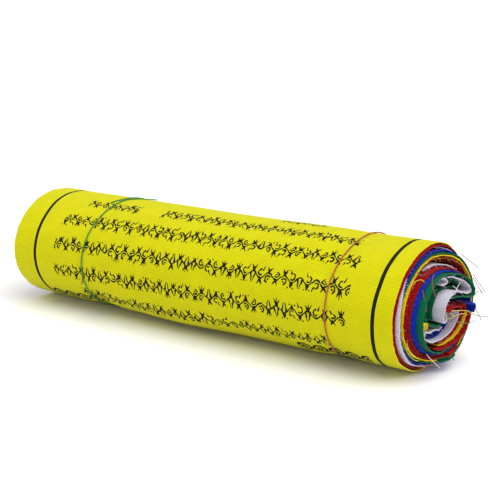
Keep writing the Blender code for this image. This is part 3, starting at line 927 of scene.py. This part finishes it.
def twistedThread(name, route, material):
    # two strands that wind round a route
    bpy.ops.object.select_all(action="DESELECT")
    bpy.ops.curve.primitive_bezier_curve_add()
    thread = bpy.context.object
    thread.name = name
    curve = thread.data
    curve.splines.clear()
    curve.dimensions = "3D"
    curve.bevel_depth = tieThread["strand"] * mm
    curve.bevel_resolution = 1
    curve.use_fill_caps = True
    # almost along the roll, so that it is never in line with the route
    across = Vector((1.0, 0.001, 0.0))
    turn = 0.0
    twists = [0.0]
    for a, b in zip(route, route[1:]):
        turn += (b - a).length / tieThread["twist"] * math.tau
        twists.append(turn)
    for strand in range(2):
        spline = curve.splines.new("POLY")
        spline.points.add(len(route) - 1)
        for i, (point, place, twist) in enumerate(zip(spline.points, route, twists)):
            run = (route[min(i + 1, len(route) - 1)] - route[max(i - 1, 0)]).normalized()
            side = run.cross(across).normalized()
            over = run.cross(side).normalized()
            phase = twist + strand * math.pi
            offset = (side * math.cos(phase) + over * math.sin(phase)) * tieThread["spread"]
            point.co = (*((place + offset) * mm), 1.0)
    curve.materials.append(material)
    bpy.ops.object.convert(target="MESH")
    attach(thread, "root")
    return thread


greenThread = threadMaterial("green spun cotton thread", threadLook["green"])
redThread = threadMaterial("red spun cotton thread", threadLook["red"], threadLook["dark"])
for node, rows in ties.items():
    first, last = rows[0][0], rows[-1][0]
    steps = round((last - first) / tieThread["step"])
    route = [tiePoint(rows, first + (last - first) * i / steps) for i in range(steps + 1)]
    thread = twistedThread(node + "_thread", route, greenThread if node == "green_tie" else redThread)
    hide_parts(node)
print("scene: ties wound")


# Frayed threads: short ones along the cut edges, and the long loose ones of the photo

fray = {
    "radius": 0.07,
    "short": (0.5, 2.2),      # the shortest and the longest
    "spacing": 1.5,
    "uneven": (0.4, 1.8),     # least and most share of the spacing
    "rooted": 0.4,            # how deep a thread starts in the cloth
    "lean": 0.35,
    "curl": 0.3,
    "sag": 0.1,
    "longRadius": 0.19,
}


def strandMesh(name, strands, radius, material):
    # many thin threads as one mesh
    bpy.ops.object.select_all(action="DESELECT")
    bpy.ops.curve.primitive_bezier_curve_add()
    threads = bpy.context.object
    threads.name = name
    curve = threads.data
    curve.splines.clear()
    curve.dimensions = "3D"
    curve.bevel_depth = radius * mm
    curve.bevel_resolution = 0
    curve.use_fill_caps = True
    for strand in strands:
        spline = curve.splines.new("POLY")
        spline.points.add(len(strand) - 1)
        for point, place in zip(spline.points, strand):
            point.co = (*(place * mm), 1.0)
    curve.materials.append(material)
    bpy.ops.object.convert(target="MESH")
    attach(threads, "root")
    return threads


def shortStrands(path, seed):
    # threads that stand out of the right-hand cut edge of a flag
    chance = random.Random(seed)
    strands = []
    walked = 0.0
    for a, b in zip(path, path[1:]):
        walked += math.hypot(b["y"] - a["y"], b["z"] - a["z"])
        if walked < fray["spacing"] * chance.uniform(*fray["uneven"]):
            continue
        walked = 0.0
        reach = chance.uniform(*fray["short"])
        start = Vector((roll["width"] / 2 + a["reach"] - fray["rooted"], a["y"], a["z"]))
        lean = Vector((1.0, chance.gauss(0, fray["lean"]), chance.gauss(0, fray["lean"])))
        curl = Vector((0.0, chance.gauss(0, fray["curl"]), chance.gauss(-fray["sag"], fray["curl"])))
        strands.append([start + lean * reach * t + curl * reach * t * t for t in (0.0, 0.4, 0.75, 1.0)])
    return strands


frayThreads = {dye: [] for dye in dyes}
for number, (node, path) in enumerate(paths.items()):
    # the outer flag's own edge is clean
    if number:
        frayThreads[node.split("_")[0]] += shortStrands(path, 100 + number)
fuzzColours = {
    "yellow": "#E0C22A",
    "red": "#9C1210",
    "white": "#D8D2DC",
    "blue": "#122C74",
    "green": "#0C5C3C",
}
fuzz = {dye: threadMaterial("frayed " + dye + " cotton", colour) for dye, colour in fuzzColours.items()}
for dye, strands in frayThreads.items():
    strandMesh("frayed_edge_" + dye, strands, fray["radius"], fuzz[dye])

# the long loose threads of the end: dye and points (out of the right end, y, z)
looseThreads = [
    ("red", [(4.0, 27.2, 61.6), (7.0, 28.6, 58.9), (10.0, 29.9, 56.5), (13.0, 31.7, 53.7)]),
    ("red", [(13.0, 25.8, 51.2), (15.0, 27.6, 47.0), (17.0, 28.3, 44.2), (18.0, 31.0, 40.6)]),
    ("red", [(13.0, 26.1, 49.1), (15.0, 26.9, 45.1), (16.5, 27.7, 42.6), (17.0, 29.5, 39.4)]),
    ("blue", [(13.0, 28.5, 38.3), (14.5, 28.0, 40.5), (16.0, 29.6, 41.1), (17.0, 30.8, 40.1)]),
    ("blue", [(14.0, 27.2, 31.8), (15.0, 28.2, 29.2), (16.0, 29.3, 27.0), (17.0, 30.2, 23.9)]),
    ("red", [(14.0, 18.2, 32.0), (15.5, 22.9, 29.0), (17.0, 29.5, 26.4), (18.5, 36.6, 24.7)]),
    ("green", [(10.5, -1.9, 32.0), (12.0, 6.2, 28.1), (13.5, 18.2, 24.5), (15.0, 27.4, 24.0)]),
    ("yellow", [(11.5, -8.4, 38.2), (12.5, 0.7, 36.2), (13.5, 9.7, 34.2),
     (14.5, 17.1, 32.2), (15.0, 20.4, 29.8)]),
    ("yellow", [(11.5, -7.1, 36.8), (12.0, -5.2, 33.7), (12.5, -1.1, 32.1),
     (13.0, 1.4, 33.2), (12.5, -1.4, 35.1), (12.0, -5.5, 37.2)]),
    ("yellow", [(12.5, 1.1, 32.4), (13.0, 7.3, 32.3), (14.0, 14.9, 31.3)]),
    ("red", [(9.0, -16.7, 60.3), (10.5, -21.7, 58.5), (11.0, -21.9, 55.1),
     (11.5, -20.5, 51.4), (12.0, -19.0, 48.2)]),
    ("red", [(6.5, -24.4, 53.0), (8.0, -26.0, 50.1), (9.0, -25.6, 46.3), (9.5, -24.6, 41.3)]),
    ("white", [(12.5, 9.8, 50.3), (13.5, 4.5, 49.3), (14.0, 0.8, 47.8), (14.5, -1.4, 46.7)]),
    ("white", [(12.5, 0.1, 50.6), (13.5, 4.7, 47.2), (14.0, 7.9, 44.8)]),
    ("yellow", [(1.5, -32.2, 22.8), (3.5, -33.6, 20.4), (5.0, -32.4, 17.5),
     (6.5, -29.3, 14.9), (7.0, -27.1, 14.5)]),
    ("yellow", [(1.5, -31.2, 26.5), (4.0, -33.8, 22.9), (6.0, -32.4, 18.5), (7.5, -28.9, 16.1)]),
    ("white", [(9.0, -21.8, 16.8), (11.0, -20.5, 14.0), (12.0, -16.1, 10.1), (12.5, -11.6, 6.6)]),
    ("red", [(8.0, -27.9, 12.8), (9.5, -24.9, 11.4), (11.0, -18.5, 10.6), (12.0, -13.5, 10.1)]),
    ("blue", [(2.5, -15.2, 62.7), (4.0, -15.2, 61.6), (5.0, -15.4, 59.4)]),
    ("green", [(1.5, -20.7, 61.2), (2.6, -19.4, 59.5), (3.6, -17.1, 59.0), (4.4, -15.4, 60.1)]),
    ("yellow", [(2.0, -27.4, 55.0), (3.0, -25.8, 57.5), (4.0, -21.6, 57.5), (5.0, -19.6, 56.0)]),
    ("green", [(11.0, 5.8, 8.1), (11.6, 6.4, 6.9), (12.0, 7.2, 5.4)]),
    ("green", [(13.0, 11.2, 30.3), (13.6, 12.6, 25.9), (14.0, 13.1, 23.3)]),
]
# a short red end of two threads is caught under the green tie: angle round the roll and
# place beside the tie
caughtEnd = [(101.5, 0.3), (105.0, -0.7), (109.0, -1.9), (113.0, -3.3)]
caughtThreads = (0.0, 0.35)
for dye in dyes:
    strands = []
    if dye == "red":
        for beside in caughtThreads:
            strands.append([tiePoint(ties["green_tie"], angle) + Vector((x + beside, 0.0, 0.0))
                            for angle, x in caughtEnd])
    for threadDye, points in looseThreads:
        if threadDye == dye:
            strands.append(smoothPath([(roll["width"] / 2 + x, y, z) for x, y, z in points], 6))
    if strands:
        strandMesh("loose_threads_" + dye, strands, fray["longRadius"], fuzz[dye])
print("scene: threads frayed")


# Floor and light

stage = {
    "floor": "#FAFAFA",
    "floorRoughness": 0.9,
    "floorSize": 60.0,        # metres
    "world": 0.66,
    "sun": 2.3,
    "sunFrom": (0.46, -0.08, 1.0),
    "sunSoftness": 64.0,      # degrees across, like a large softbox
}


def addStage():
    bpy.ops.object.select_all(action="DESELECT")
    bpy.ops.mesh.primitive_plane_add(size=stage["floorSize"], location=(0, 0, 0))
    floor = bpy.context.object
    floor.name = "floor"
    material, tree, shader = startMaterial("matt white paper")
    shader.inputs["Base Color"].default_value = linear(stage["floor"])
    shader.inputs["Roughness"].default_value = stage["floorRoughness"]
    floor.data.materials.append(material)
    world = bpy.context.scene.world or bpy.data.worlds.new("studio")
    bpy.context.scene.world = world
    world.use_nodes = True
    nodes = world.node_tree.nodes
    background = nodes.get("Background") or nodes.new("ShaderNodeBackground")
    background.inputs[0].default_value = (1.0, 1.0, 1.0, 1.0)
    background.inputs[1].default_value = stage["world"]


def addSun():
    bpy.ops.object.light_add(type="SUN", location=(0, 0, 1))
    sun = bpy.context.object
    sun.name = "softbox"
    sun.data.energy = stage["sun"]
    sun.data.angle = math.radians(stage["sunSoftness"])
    sun.rotation_euler = Vector(stage["sunFrom"]).to_track_quat("Z", "Y").to_euler()


addStage()
addSun()
bpy.context.scene.view_settings.view_transform = "Standard"
print("scene: stage set")
